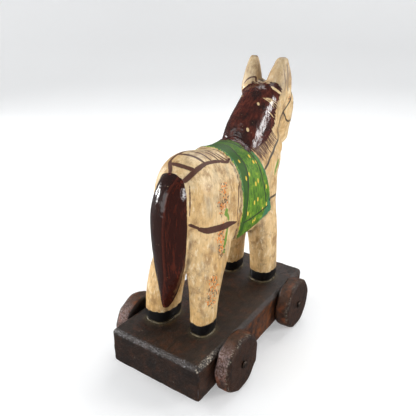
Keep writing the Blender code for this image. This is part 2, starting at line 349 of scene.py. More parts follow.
# %% Distances to outlines and smooth steps
def outline_depth(across, upwards, outline):
    """Signed distance into a closed outline, more than 0 inside."""
    nearest = np.full(len(across), np.inf)
    inside = np.zeros(len(across), dtype=bool)
    for (ay, az), (by, bz) in zip(outline, outline[1:] + outline[:1]):
        dy, dz = by - ay, bz - az
        along = ((across - ay) * dy + (upwards - az) * dz) / (dy * dy + dz * dz)
        along = np.clip(along, 0, 1)
        nearest = np.minimum(nearest, np.hypot(across - ay - along * dy, upwards - az - along * dz))
        if dz:
            crosses = (az > upwards) != (bz > upwards)
            inside ^= crosses & (across < ay + (upwards - az) * dy / dz)
    return np.where(inside, nearest, -nearest)


def ramp(values, low, high):
    """0 below low, 1 above high, smooth between."""
    share = np.clip((values - low) / (high - low), 0, 1)
    return share * share * (3 - 2 * share)


def hump(distance, reach):
    """1 at distance 0, falling smoothly to 0 at reach."""
    return 1 - ramp(np.abs(distance), 0, reach)


# The saddle cloth and the mane, as seen from the side
CLOTH = [
    (-8.4, 147.0), (-8.4, 124.7), (-9.2, 119.7), (-14.2, 111.7), (-18.8, 102.7),
    (-22.6, 90.6), (-26.2, 81.2), (-25.2, 78.8), (-21.1, 77.0),
    (-13.1, 73.6), (-2.0, 71.4), (8.4, 70.0), (11.0, 73.6),
    (12.3, 83.6), (11.2, 93.6), (11.6, 103.7), (13.6, 115.7), (16.4, 125.7), (16.4, 147.0),
]
MANE = [
    (-7.0, 119.0), (-12.3, 120.3), (-17.7, 120.8), (-24.9, 122.9), (-31.9, 126.9), (-35.4, 131.5),
    (-37.0, 138.2), (-39.2, 143.8), (-40.6, 149.0), (-41.2, 153.5), (-38.6, 156.2), (-30.0, 160.0),
    (-4.0, 150.0), (-4.0, 121.0),
]


def cloth_reach(spots):
    """How far inside the cloth's cut edge each spot lies; the edge itself wavers."""
    waver = np.array([noise.noise(Vector(spot) / 3.2) for spot in spots])
    return outline_depth(spots[:, 1], spots[:, 2], CLOTH) + 0.55 * waver


def mane_reach(spots):
    """The same for the mane, which ends lower and further back on the left side."""
    left_side = ramp(spots[:, 0] - HORSE_MIDDLE, 4, 9)
    depth = outline_depth(spots[:, 1], spots[:, 2] + 2.6 * left_side * ramp(spots[:, 2], 143, 150), MANE)
    return depth - 0.9 * left_side


side_x = points[:, 0] - HORSE_MIDDLE
y, z = points[:, 1], points[:, 2]
cloth_depth = cloth_reach(points)
print("cloth covers", int((cloth_depth > 0).sum()), "points")

# %% Carve the details
# The cloth's edge is pared down to a clear step. Distances are cut off at FAR.
FAR = 4.0
CLOTH_STEP = 1.1
lift = CLOTH_STEP * (ramp(cloth_depth, -0.4, 0.4) - ramp(cloth_depth, -2.0, 2.0))

# Smoothing has drawn the skin in a little, so it is let out again, most where the neck's
# back, the throat and the top of the rump are fuller than the solid
FULLER = [
    ((9.0, -15.0, 132.0), 30.0, (0.83, 0.56, 0.0), 1.6),
    ((-9.0, -40.0, 112.0), 15.0, (-0.83, -0.56, 0.0), 3.4),
    ((6.0, 34.0, 122.0), 24.0, (0.7, 0.5, 0.5), 0.5),
    ((7.0, 60.0, 98.0), 24.0, (0.7, 0.7, 0.0), 0.7),
    ((-8.0, -44.0, 119.0), 11.0, (-0.83, -0.56, 0.0), 2.4),
]
LET_OUT = 0.3
lift += LET_OUT * ramp(z, SOLES, SOLES + 3)
for centre, reach, facing, amount in FULLER:
    near = hump(np.linalg.norm(points - centre, axis=1), reach)
    lift += amount * near * np.clip(normals @ np.array(facing), 0, 1)

# A scoop down the outer side of each ear, with a narrow groove behind it
SCOOP = 1.5
EAR_GROOVE = 0.8
ear_height = ramp(z, 147, 153) * (1 - ramp(z, 165, 169.5))
on_ears = np.abs(side_x) > 7.5
ear_line = y + 49.0 - 0.05 * (z - 158)
lift -= (SCOOP * hump(ear_line, 3.0) + EAR_GROOVE * hump(ear_line - 4.4, 1.2)) * ear_height * on_ears

# The tail has a ridge down its back, to the right of its middle. Each pair below gives
# heights and the value at each of them.
CREST = 2.2
RIDGE_OFF = -3.4
TAIL_MIDDLE = ([44, 60, 83, 105, 119], [2.2, 1.9, 1.3, 0.6, 0.4])
TAIL_HALF = ([43, 45, 56, 69, 84, 98, 109, 118], [2.0, 2.8, 6.6, 9.6, 11.2, 11.0, 9.6, 7.0])
TAIL_FRONT = ([44, 73.5, 83.5, 94.5, 105, 112.3, 117.6, 120],
              [54.3, 53.9, 53.5, 52.9, 52.1, 50.8, 49.9, 51.6])


def tail_reach(spots):
    """How far inside the tail's painted back each spot lies. Its right side stays cream."""
    middle = np.interp(spots[:, 2], *TAIL_MIDDLE)
    half = np.interp(spots[:, 2], *TAIL_HALF)
    bare_side = 0.9 * ramp(middle - spots[:, 0], 1.5, 5) * ramp(spots[:, 2], 70, 84)
    front = np.interp(spots[:, 2], *TAIL_FRONT) + bare_side
    return np.minimum(spots[:, 1] - front, half + 0.8 - np.abs(spots[:, 0] - middle))


def ridge_offset(spots):
    """How far each spot is to the left of the tail's ridge."""
    slant = RIDGE_OFF * ramp(spots[:, 2], 44, 70)
    return spots[:, 0] - np.interp(spots[:, 2], *TAIL_MIDDLE) - slant


tail_depth = tail_reach(points)
crest = CREST * np.clip(1 - np.abs(ridge_offset(points) / np.interp(z, *TAIL_HALF)) * 1.25, 0, 1) - 0.6
lift += np.where(tail_depth > 0, crest, 0) * ramp(tail_depth, 0, 2) * (1 - ramp(z, 110, 117))

# Almond eyes, nostrils, and the saw cut between the lips
EYE = (-66.6, 141.0)
EYE_HALVES = (2.7, 2.1)
NOSTRIL = (-71.2, 121.1)
NOSTRIL_HALVES = (1.8, 2.2)
LIPS = (-72.1, 114.9)
LIPS_SLOPE = math.radians(-38)
CARVED_EYE = (-61.6, 141.2)
CARVED_EYE_HALVES = (3.6, 2.6)


def oval(spots, centre, half_long, half_high):
    """0 at an oval's centre and 1 on its edge, as seen from the side."""
    return np.hypot((spots[:, 1] - centre[0]) / half_long, (spots[:, 2] - centre[1]) / half_high)


def face_marks(spots):
    """How far each spot is from the eyes, the nostrils and the line of the lips."""
    beside = np.abs(spots[:, 0] - HORSE_MIDDLE) > 2.5
    eye = np.where((spots[:, 1] < -52) & beside, np.minimum(oval(spots, EYE, *EYE_HALVES), FAR), FAR)
    nostril = np.minimum(oval(spots, NOSTRIL, *NOSTRIL_HALVES), FAR)
    nostril = np.where((spots[:, 1] < -65) & beside, nostril, FAR)
    over, behind = spots[:, 2] - LIPS[1], spots[:, 1] - LIPS[0]
    lips = np.abs(over * math.cos(LIPS_SLOPE) - behind * math.sin(LIPS_SLOPE))
    lips = np.where((spots[:, 1] < -64.5) & (spots[:, 2] < 120), np.minimum(lips, FAR), FAR)
    return eye, nostril, lips


# The solid's own eye bosses are flattened before the painted eyes get their rims
eye_off, nostril_off, lips_off = face_marks(points)
old_lump = oval(points, CARVED_EYE, *CARVED_EYE_HALVES)
lift -= np.where((y < -50) & (np.abs(side_x) > 5), 0.7 * hump(old_lump, 1.2), 0)
lift += 0.2 * hump(eye_off, 0.9) - 0.4 * hump(eye_off - 1.15, 0.4)
lift -= 0.9 * hump(nostril_off, 1.2) + 0.5 * hump(lips_off, 1.0)

# Knife work leaves the whole surface slightly uneven
UNEVEN_SKIN = 0.16
wander = np.array([noise.noise(Vector(point) / 9) + 0.5 * noise.noise(Vector(point) / 4) for point in points])
lift += UNEVEN_SKIN * wander * ramp(z, SOLES + 2, SOLES + 8)
points = points + normals * lift[:, None]

# The ears end in blunt cuts, and the left one is pared on its inner side and at its root
INNER_FRONT = np.array([-0.83, -0.56])
PARE_AT = ([147, 151, 157, 163, 171], [0.0, 0.35, 0.42, 0.4, 0.2])
SPREAD_RIGHT = 0.15
SPREAD_LEFT = -0.12
ROOT_DROP = 3.8
for ear_side in (-1, 1):
    ear = (np.sign(side_x) == ear_side) & (z > 146) & (y > -56)
    heart = points[ear & (z > 160)][:, :2].mean(axis=0)
    spread = (SPREAD_LEFT if ear_side > 0 else SPREAD_RIGHT) * ramp(z, 165, 171)[ear]
    points[ear, :2] += (points[ear, :2] - heart) * spread[:, None]
    if ear_side > 0:
        beyond = np.clip((points[ear, :2] - heart) @ INNER_FRONT, 0, None) * ramp(side_x[ear], 0.5, 3.0)
        points[ear, :2] -= (beyond * np.interp(z[ear], *PARE_AT))[:, None] * INNER_FRONT
front_root = ramp(-points[:, 1], 46, 55) * ramp(z, 150, 161) * ramp(side_x, -1, 5)
points[:, 2] -= ROOT_DROP * front_root
points[:, 2] = np.clip(points[:, 2], SOLES, horse_high.z - 0.5)
write_points(horse_mesh, points)
print("carved", int((np.abs(lift) > 0.5).sum()), "points by more than 0.5 mm")

# %% [markdown]
# ## Brush strokes
#
# The painter drew the harness, the cloth's borders and the pattern on the rump with a
# loaded brush, freehand. A stroke here is a short list of points near the surface, taken
# in toy coordinates, with the brush's half width. A smooth curve runs through them, every
# sample of it is dropped onto the skin, and each point of the skin then knows how far it
# is from the nearest paint. The material turns that distance into an inked edge.

# %% Strokes that lie on the skin
skin_tree = BVHTree.FromPolygons([Vector(point) for point in points],
                                 [tuple(face.vertices) for face in horse_mesh.polygons])
BRUSH_STEP = 0.35


def other_side(stroke):
    """The same stroke on the horse's other flank."""
    return [(2 * HORSE_MIDDLE - x, y, z) for x, y, z in stroke]


def brush(stroke, width, start=0.6, end=0.6):
    """Samples of a smooth stroke on the skin, each with its half width.

    The width is the full one at the middle; start and end are shares of it.
    """
    keys = [Vector(point) for point in stroke]
    keys = [2 * keys[0] - keys[1]] + keys + [2 * keys[-1] - keys[-2]]
    samples = []
    spans = len(keys) - 3
    for index in range(spans):
        before, first, last, after = keys[index:index + 4]
        steps = max(2, int((last - first).length / BRUSH_STEP))
        for step in range(steps + 1):
            t = step / steps
            spot = (2 * first + (last - before) * t + (2 * before - 5 * first + 4 * last - after) * t * t
                    + (3 * first - before - 3 * last + after) * t ** 3) / 2
            on_skin = skin_tree.find_nearest(spot)[0]
            share = (index + t) / spans
            press = min(1, start + (1 - start) * share * 4, end + (1 - end) * (1 - share) * 4)
            samples.append((on_skin, width / 2 * press))
    return samples


def draw(strokes, sides=(list,)):
    """Samples of strokes given as (keys, width, start, end), on one flank or on both."""
    return [sample for turn in sides for keys, *press in strokes for sample in brush(turn(keys), *press)]


BOTH = (list, other_side)
print("brush ready over", len(points), "points")

# %% The brown pattern on the rump
RUMP = [
    ([(1.3, 52.0, 118.6), (4.4, 47.8, 121.2), (6.4, 45.0, 122.8)], 2.5, 0.6, 0.9),
    ([(6.4, 45.0, 122.8), (6.2, 43.3, 124.0), (5.2, 38.6, 125.8), (3.5, 32.3, 126.2)], 1.7, 1, 0.8),
    ([(3.5, 32.3, 126.2), (0.9, 25.7, 125.5), (-3.0, 21.5, 124.5)], 1.0, 1, 0.5),
    ([(4.4, 46.3, 122.5), (-3.3, 46.3, 122.2), (-8.0, 44.6, 120.9)], 2.3, 0.75, 0.9),
    ([(4.4, 39.8, 125.8), (-2.8, 38.5, 125.7), (-8.6, 36.1, 122.5)], 1.7, 0.75, 0.9),
    ([(1.7, 34.4, 126.6), (-4.4, 31.9, 125.4), (-9.0, 30.2, 122.0)], 1.3, 0.75, 0.9),
    ([(-0.2, 28.2, 125.5), (-5.9, 25.7, 123.9), (-9.6, 23.7, 120.7)], 1.3, 0.75, 0.9),
    ([(-2.4, 23.8, 124.5), (-7.6, 22.0, 122.6), (-10.0, 19.5, 120.0)], 1.2, 0.75, 0.9),
    ([(-4.8, 20.6, 123.6), (-8.4, 18.9, 121.6), (-10.2, 16.9, 120.4)], 1.1, 0.75, 0.9),
    ([(-5.2, 51.6, 115.6), (-6.9, 48.9, 117.2), (-8.6, 44.1, 120.4), (-8.8, 36.4, 122.2)], 2.8, 0.6, 0.8),
    ([(-8.8, 36.4, 122.2), (-9.3, 26.1, 121.2), (-10.4, 17.9, 119.4), (-10.6, 15.2, 120.6)], 2.1, 1, 0.5),
]
brown = draw(RUMP)
print("rump pattern:", len(brown), "samples")

# %% Straps and combed hair
# The belly strap is broken where the brush lifted, and a thin line runs down the cloth's edge
STRAP_HEAD = [(-10.2, 52.6, 94.6), (-11.0, 50.6, 93.5), (-12.9, 48.3, 92.0)]
STRAP = [(-13.4, 47.4, 91.1), (-14.4, 43.0, 89.4), (-15.7, 37.2, 88.0), (-15.8, 29.0, 86.6),
         (-15.8, 22.0, 85.6), (-15.6, 14.6, 84.3)]
EDGE_LINE = [(-15.1, 13.3, 107.8), (-15.9, 13.6, 100.6), (-16.1, 14.3, 92.5), (-15.6, 13.8, 84.4)]
HAIR_LINES = 19
chance = np.random.default_rng(6)
brown += draw([(STRAP_HEAD, 1.7, 0.5, 0.9), (STRAP, 4.1, 0.55, 0.25), (EDGE_LINE, 0.9, 0.4, 0.4)], BOTH)
for step in range(HAIR_LINES):
    share = step / (HAIR_LINES - 1)
    root = Vector((-9.2 - 1.2 * share, -10.5 - 19.5 * share, 121.4 + 8.4 * share ** 1.4))
    tip = Vector((-13.6 + 2.0 * share, -18.6 - 21.0 * share, 112.0 + 9.6 * share ** 1.6))
    tip = root + (tip - root) * chance.uniform(0.85, 1.15) + Vector((0, chance.uniform(-0.3, 0.3), 0))
    bend = (root + tip) / 2 + Vector((0, chance.uniform(0.1, 0.7), 0.5))
    for turn in BOTH:
        brown += brush(turn([tuple(root), tuple(bend), tuple(tip)]), chance.uniform(0.7, 0.95), 1, 0.35)
# A painted shade line runs down the crease between the tail and the right thigh
GROOVE_SHADE = [(-8.7, 49.3, 114.0), (-9.6, 50.4, 109.3), (-10.2, 51.2, 104.3), (-10.2, 51.8, 99.1)]
EAR_WISP = [(4.6, -40.2, 155.4), (5.3, -40.4, 156.4), (5.8, -40.8, 158.3), (8.2, -40.0, 158.0),
            (10.4, -39.2, 156.6), (12.6, -39.0, 153.8)]
EAR_LINE = [(-13.2, -43.6, 166.0), (-13.4, -44.0, 158.0), (-13.2, -44.4, 151.0)]
brown += draw([(GROOVE_SHADE, 0.75, 0.7, 0.5), (EAR_WISP, 1.0, 1, 0.4), (EAR_LINE, 0.8, 0.3, 0.6)])

# Bare cream shows through the mane where hair was scratched in
BARE_BAR = [(-7.3, -38.0, 153.4), (-12.0, -40.6, 149.7)]
COMB = [
    ([(-5.6, -30.2, 147.6), (-8.6, -32.9, 144.8), (-11.0, -35.8, 141.2)], 0.55),
    ([(-6.3, -30.8, 147.6), (-9.4, -34.4, 144.6), (-11.2, -37.8, 141.6)], 0.45),
    ([(-7.0, -31.6, 147.4), (-9.8, -35.8, 144.9), (-11.3, -39.8, 142.4)], 0.6),
    ([(-7.8, -32.4, 147.6), (-10.4, -37.2, 145.3), (-11.4, -40.4, 143.6)], 0.4),
    ([(-9.6, -30.5, 139.5), (-11.6, -34.5, 135.5)], 0.6),
]
PAINT_CHIPS = [
    ([(-4.4, -26.6, 144.5), (-4.9, -26.2, 144.0)], 1.4, 1, 1),
    ([(-4.3, -14.8, 131.0), (-5.0, -14.2, 130.4)], 1.5, 1, 1),
]
scratched = draw(PAINT_CHIPS)
scratched += draw([(BARE_BAR, 1.35, 0.7, 0.9)] + [(tooth, width, 0.7, 0.5) for tooth, width in COMB], BOTH)
print("brown", len(brown), "scratched", len(scratched), "samples")

# %% The bridle, the breast strap and the lines on the cloth
REIN_TOP = [(-12.1, -57.6, 145.4), (-12.2, -55.0, 143.4), (-12.2, -52.4, 141.6), (-11.4, -47.4, 137.3),
            (-10.8, -44.9, 132.6), (-11.3, -42.2, 129.0), (-11.5, -41.0, 125.0), (-12.4, -39.2, 121.2)]
REIN_LOW = [(-12.4, -39.2, 121.2), (-13.2, -34.9, 118.0), (-13.7, -31.6, 115.0), (-14.1, -27.1, 112.2),
            (-14.9, -23.2, 109.4), (-15.2, -18.8, 107.3)]
NOSE_BAND = [(-11.4, -47.4, 137.3), (-11.2, -50.6, 134.6), (-11.0, -53.6, 131.6), (-9.8, -60.5, 129.3),
             (-7.0, -69.0, 130.5), (1.3, -72.6, 132.0)]
BROW_BAND = [(-11.9, -55.0, 142.6), (-12.2, -58.5, 147.0), (-8.0, -65.0, 150.0), (1.3, -67.5, 150.5)]
BREAST = [(-17.0, -23.0, 86.6), (-16.6, -31.0, 86.2), (-14.1, -38.6, 85.6), (-7.0, -43.6, 85.2),
          (1.3, -44.6, 85.0)]
CLOTH_REAR = [(1.3, 4.9, 125.0), (-4.0, 5.6, 124.4), (-9.6, 6.4, 121.3), (-12.2, 5.2, 118.3),
              (-14.4, 4.1, 114.0), (-16.0, 3.9, 108.9), (-17.3, 5.2, 95.0), (-16.9, 6.5, 83.4)]
CLOTH_FRONT = [(1.3, -1.0, 125.2), (-6.7, -1.8, 123.2), (-9.7, -4.4, 121.2), (-13.0, -7.1, 117.0),
               (-15.5, -9.9, 111.2), (-17.0, -13.2, 100.5), (-17.0, -18.4, 86.5)]
CLOTH_LOW = [(-16.4, 8.0, 81.6), (-16.4, -1.4, 81.2), (-16.7, -10.8, 82.0), (-16.8, -20.8, 83.3)]
black = draw([
    (REIN_TOP, 1.25, 0.8, 1), (REIN_LOW, 1.7, 0.75, 1), (NOSE_BAND, 1.1, 1, 1), (BROW_BAND, 1.1, 1, 1),
    (BREAST, 1.5, 1, 1), (CLOTH_REAR, 1.1, 1, 0.7), (CLOTH_FRONT, 1.1, 1, 0.7), (CLOTH_LOW, 1.2, 0.7, 0.8),
], BOTH)
print("black strokes:", len(black), "samples")

# %% Yellow dabs on the cloth, green splashes and stippled spots
DABS = [(2.5, 109.8), (6.2, 108.2), (-6.5, 103.5), (-3.8, 102.2), (-17.0, 97.0), (-6.5, 91.8),
        (-2.7, 90.7), (-18.9, 84.8), (-14.1, 82.9), (4.7, 86.1), (-4.6, 77.3), (-6.7, 77.8),
        (-4.9, 116.2), (-7.8, 115.6), (8.3, 121.0), (-3.2, 121.8)]
SPLASHES = [
    ([(-16.3, 26.6, 95.6), (-16.2, 26.4, 92.4)], 3.9),
    ([(-16.2, 25.4, 93.0), (-16.0, 23.6, 88.6)], 1.8),
    ([(-15.6, 24.3, 83.6), (-16.3, 27.0, 78.2), (-16.7, 29.2, 74.2)], 2.5),
    ([(-16.9, 29.5, 72.4), (-16.9, 29.6, 71.2)], 2.1),
    ([(-14.0, -36.0, 109.0), (-14.6, -34.0, 105.0), (-15.2, -32.0, 100.6)], 2.4),
]
CLUSTERS = [
    ([(-15.8, 28.0, 108.0), (-16.2, 29.4, 103.0), (-16.3, 31.0, 97.0)], 11.0),
    ([(-15.8, 29.6, 85.0), (-16.4, 31.0, 79.0), (-16.7, 31.6, 73.0)], 11.0),
    ([(-18.1, 41.0, 59.5), (-18.5, 41.9, 53.0), (-18.5, 43.9, 48.0)], 11.5),
    ([(-12.4, -54.6, 147.0), (-12.4, -53.4, 143.6)], 7.0),
]
DAB_HALF = 1.1
FLANK = -18
yellow = draw([([(FLANK, along, high + DAB_HALF), (FLANK, along - 0.6, high - DAB_HALF)], 1.55, 0.7, 0.5)
               for along, high in DABS], BOTH)
splashed = draw([(stroke, width, 0.6, 0.4) for stroke, width in SPLASHES], BOTH)
stippled = draw([(stroke, width, 0.8, 0.8) for stroke, width in CLUSTERS], BOTH)
print("dabs", len(yellow), "splashes", len(splashed), "stipple", len(stippled), "samples")

# %% A closer mesh under the thin lines
# Attributes live on points, so a line thinner than the mesh would look broken. The faces
# next to a stroke or to the edge of a region are split once, the others stay as they are.
def stroke_tree(samples):
    tree = KDTree(len(samples))
    for index, (spot, _) in enumerate(samples):
        tree.insert(spot, index)
    tree.balance()
    return tree


thin_lines = stroke_tree(brown + black + scratched + yellow + splashed)
LINE_REACH = 1.5
EDGE_REACH = 0.9
EYE_REACH = 0.6
by_line = np.array([thin_lines.find(point)[2] < LINE_REACH for point in points])
by_edge = np.abs(cloth_reach(points)) < EDGE_REACH
by_edge |= (np.abs(mane_reach(points)) < EDGE_REACH) | (np.abs(tail_reach(points)) < EDGE_REACH)
by_edge |= np.abs(face_marks(points)[0] - 1) < EYE_REACH
close = by_line | by_edge
split = bmesh.new()
split.from_mesh(horse_mesh)
split.verts.ensure_lookup_table()
short_edges = [edge for edge in split.edges if close[edge.verts[0].index] and close[edge.verts[1].index]]
bmesh.ops.subdivide_edges(split, edges=short_edges, cuts=1, use_grid_fill=True)
split.to_mesh(horse_mesh)
split.free()
points, normals = read_points(horse_mesh)
triangles = sum(len(face.vertices) - 2 for face in horse_mesh.polygons)
print("closer mesh:", len(points), "points,", triangles, "triangles")

# %% Write every distance on the skin
HOLLOW_ROUNDS = 12
HOLLOW_DEPTH = 0.4


def paint_distance(samples):
    """For each point of the skin, how far it is outside the nearest stroke."""
    tree = stroke_tree(samples)
    widest = max(half for _, half in samples)
    low = np.min([spot for spot, _ in samples], axis=0) - FAR - widest
    high = np.max([spot for spot, _ in samples], axis=0) + FAR + widest
    distance = np.full(len(points), FAR)
    near = np.nonzero(((points > low) & (points < high)).all(axis=1))[0]
    for index in near:
        _, nearest, away = tree.find(points[index])
        distance[index] = min(FAR, away - samples[nearest][1])
    return distance


STROKES = {"brown": brown, "black": black, "scratched": scratched, "yellow": yellow, "splash": splashed,
           "stipple": stippled}
for name, samples in STROKES.items():
    write_attribute(horse_mesh, name, paint_distance(samples))
rear_keys = np.array(CLOTH_REAR[:1:-1])
from_line = points[:, 1] - np.interp(points[:, 2], rear_keys[:, 2], rear_keys[:, 1])
REGIONS = {"cloth": cloth_reach(points), "mane": mane_reach(points), "tail": tail_reach(points),
           "ridge": ridge_offset(points), "rear_band": from_line}
for name, distances in REGIONS.items():
    write_attribute(horse_mesh, name, np.clip(distances, -FAR, FAR))
for name, distances in zip(("eye", "nostril", "lips"), face_marks(points)):
    write_attribute(horse_mesh, name, distances)
eased = neighbour_mean(horse_mesh, points, HOLLOW_ROUNDS)
hollow = ((eased - points) * normals).sum(axis=1)
write_attribute(horse_mesh, "hollow", np.clip(hollow / HOLLOW_DEPTH, -1, 1))
print("hollows from", round(float(hollow.min()), 2), "to", round(float(hollow.max()), 2), "mm")

# %% [markdown]
# ## The painted finish
#
# One material wears all the paint, because on the real toy it is one thin skin. It is
# built from the wood upwards: an aged cream ground with brush grain and stains, then the
# stippled spots, the splashes, the cloth, the mane and tail, the drawn lines, the black
# hooves and the eyes. Some light and shade is painted in too: shade in the hollows, in the
# crease by the tail and on one facet of the tail, light beside the tail's ridge and teal
# reflections on the cloth. Noise is added to every distance before it becomes a mask, so
# that no edge is straighter than a hand would leave it. The varnish over all of it is glossy.

# %% The cream ground
CREAM = colour(226, 198, 150)
WARM_CREAM = colour(212, 174, 116)
LOW_CREAM = colour(212, 164, 92)
STAIN = colour(148, 108, 62)
PALE = colour(238, 218, 178)
DIRT_AND_SHADE = colour(70, 50, 34)
SMOKE = colour(120, 108, 96)

paint = Finish("aged_paint")
across, along, high = paint.split(paint.place)
drift = paint.cloud(20, 3, seed=3)
grain = paint.cloud(1.1, 4, 0.65, paint.stretched(1, 1, 0.13), seed=5)
fine_noise = paint.cloud(0.8, 3, 0.6, seed=7)
edge_noise = paint.cloud(2.2, 3, seed=11) - 0.5
stains = paint.cloud(6, 6, 0.7, seed=17)
smudges = paint.cloud(9, 4, 0.6, paint.stretched(1, 1, 0.45), seed=19)


def edged(name, wobble, low, high):
    """A distance on the skin as a mask with a wavering edge."""
    return (paint.attribute(name) + edge_noise * wobble).between(low, high)


mottle = paint.cloud(1.7, 5, 0.75, paint.stretched(1, 1, 0.35), seed=21)
flecks = paint.cloud(0.7, 3, 0.75, paint.stretched(1, 1, 0.5), seed=23)
pitted = flecks.between(0.62, 0.72) * paint.cloud(7, 3, 0.6, seed=24).between(0.46, 0.62)
hollow_place = paint.attribute("hollow")
surface = paint.lay(
    CREAM,
    (drift.between(0.4, 0.62), WARM_CREAM),
    (high.between(125, 70) * 0.4, LOW_CREAM),
    (grain.between(0.46, 0.7) * 0.42, STAIN),
    (stains.between(0.47, 0.64) * 0.72, STAIN),
    (mottle.between(0.52, 0.7) * 0.55, STAIN),
    (mottle.between(0.5, 0.34) * 0.75, PALE),
    (smudges.between(0.5, 0.72) * 0.5, SMOKE),
    (pitted * 0.7, DIRT_AND_SHADE),
    # Painted shade, with some dirt, darkens the hollows and creases
    (hollow_place.between(0.1, 0.7) * 0.8, DIRT_AND_SHADE),
    (high.between(150, 156) * 0.35, SMOKE),
)
print("cream ground ready")

# %% Stippled spots and splashes
ORANGE = colour(222, 122, 0)
SPECK_AND_SHADE = colour(44, 30, 22)
SPLASH_GREEN = colour(98, 142, 34)

spot_size = {"Vector": paint.place, "Scale": 0.85, "Randomness": 1.0}
spots = paint.node("ShaderNodeTexVoronoi", {"feature": "F1"}, spot_size)
lottery = paint.node("ShaderNodeTexVoronoi", {"feature": "F1"}, spot_size, out=1)
draw, choice, _ = paint.split(lottery)
crowd = edged("stipple", 3.0, 0.8, -4.2)
picked = (crowd * 1.5 - draw).between(0.0, 0.08)
spot_mask = (spots + (fine_noise - 0.5) * 0.35).between(0.56, 0.44) * picked
surface = paint.lay(
    surface,
    (crowd * 0.2, STAIN),
    (spot_mask * choice.between(0.42, 0.44) * 0.95, ORANGE),
    (spot_mask * choice.between(0.44, 0.42) * 0.8, SPECK_AND_SHADE),
    (edged("splash", 1.2, 0.2, -0.15) * 0.9, SPLASH_GREEN),
)
print("stipple and splashes ready")

# %% The saddle cloth
CLOTH_GREEN = colour(102, 148, 0)
CLOTH_DEEP = colour(36, 84, 4)
CLOTH_LIGHT = colour(164, 190, 22)
TEAL_REFLECTION = colour(48, 120, 92)
YELLOW = colour(226, 190, 52)

bristles = paint.cloud(0.9, 4, 0.65, paint.stretched(1, 1, 0.16), seed=29)
cloth_inside = paint.attribute("cloth") + edge_noise * 0.7
cloth_mask = cloth_inside.between(0.05, 0.35)
# Painted reflections in teal lie at the cloth's lower front corner and along its upper edges
teal_corner_reflection = (along * -1.0 - (high - 82.0) * 0.5 + edge_noise * 5).between(16, 22)
teal_edge_reflection = cloth_inside.between(2.6, 0.8) * high.between(96, 108)
streaks = cloth_inside.between(1.9, 0.9) * along.between(4, 9) * bristles.between(0.5, 0.56)
shadow_line = cloth_inside.between(-1.0, -0.4) * cloth_inside.between(-0.1, -0.35)
cloth_paint = paint.lay(
    CLOTH_GREEN,
    (bristles.between(0.40, 0.60) * 0.85, CLOTH_DEEP),
    (paint.cloud(5, 4, 0.6, seed=31).between(0.54, 0.7) * 0.6, CLOTH_LIGHT),
    (high.between(113, 122) * 0.5, CLOTH_DEEP),
    (paint.attribute("rear_band").between(-0.4, 0.5) * 0.85, CLOTH_DEEP),
    ((teal_corner_reflection + teal_edge_reflection * 0.6).least(0.75), TEAL_REFLECTION),
    (streaks * 0.9, CLOTH_LIGHT),
    # Painted shade, with some dirt, darkens the cloth's hollows
    (hollow_place.between(0.12, 0.8) * 0.8, SPECK_AND_SHADE),
    (edged("yellow", 0.6, 0.15, -0.15) * 0.92, YELLOW),
)
surface = paint.lay(
    surface,
    (cloth_mask, cloth_paint),
    # A painted shadow lies just outside the cloth's raised edge
    (shadow_line * stains.between(0.45, 0.6) * 0.25, DIRT_AND_SHADE),
)
print("cloth ready")

# %% Mane, tail and drawn lines
MANE_BROWN = colour(62, 28, 24)
MANE_RED = colour(98, 48, 36)
SOOT_AND_SHADE = colour(36, 26, 24)
TAIL_BROWN = colour(48, 17, 10)
TAIL_RED = colour(84, 34, 20)
LINE_BROWN = colour(72, 24, 15)
LINE_BLACK = colour(38, 34, 32)

hair = paint.cloud(1.2, 4, 0.7, paint.stretched(1, 0.5, 0.12), seed=37)
combed = (along * 0.65 + high * 0.76) * 0.1
crosswise = high * 0.65 - along * 0.76
comb_place = paint.node("ShaderNodeCombineXYZ", None, {0: across * 0.2, 1: combed, 2: crosswise})
comb = paint.cloud(0.8, 3, 0.6, comb_place, seed=39) - 0.5
ridge = paint.attribute("ridge") + edge_noise * 0.6
mane_mask = (paint.attribute("mane") + edge_noise * 1.2 + comb * 8.0).between(-0.3, 0.5)
tail_mask = edged("tail", 0.8, -0.25, 0.2)
brown_mask = (paint.attribute("brown") + edge_noise * 0.6 + (fine_noise - 0.5) * 0.3).between(0.14, -0.14)
mane_paint = paint.lay(
    MANE_BROWN,
    (hair.between(0.42, 0.66), MANE_RED),
    (paint.cloud(9, 3, seed=41).between(0.48, 0.64) * 0.75, SOOT_AND_SHADE),
)
tail_paint = paint.lay(
    TAIL_BROWN,
    (hair.between(0.5, 0.72), TAIL_RED),
    # Painted shade darkens the tail's left facet, and painted light brightens a band beside its ridge
    (ridge.between(-0.1, 0.9) * 0.6, SOOT_AND_SHADE),
    (ridge.between(-1.6, -0.5) * ridge.between(0.1, -0.4) * 0.35, MANE_RED),
)
surface = paint.lay(
    surface,
    (mane_mask, mane_paint),
    (edged("scratched", 0.5, 0.12, -0.1) * 0.9, CREAM),
    (tail_mask, tail_paint),
    (brown_mask * 0.95, LINE_BROWN),
    (edged("black", 0.4, 0.12, -0.12) * 0.9, LINE_BLACK),
)
print("mane, tail and lines ready")

# %% Hooves, eyes, nostrils and lips
HOOF_BLACK = colour(16, 16, 17)
EYE_WHITE = colour(236, 228, 208)
HOOF_TOP = 34.8
PAINT_IOR = 1.6

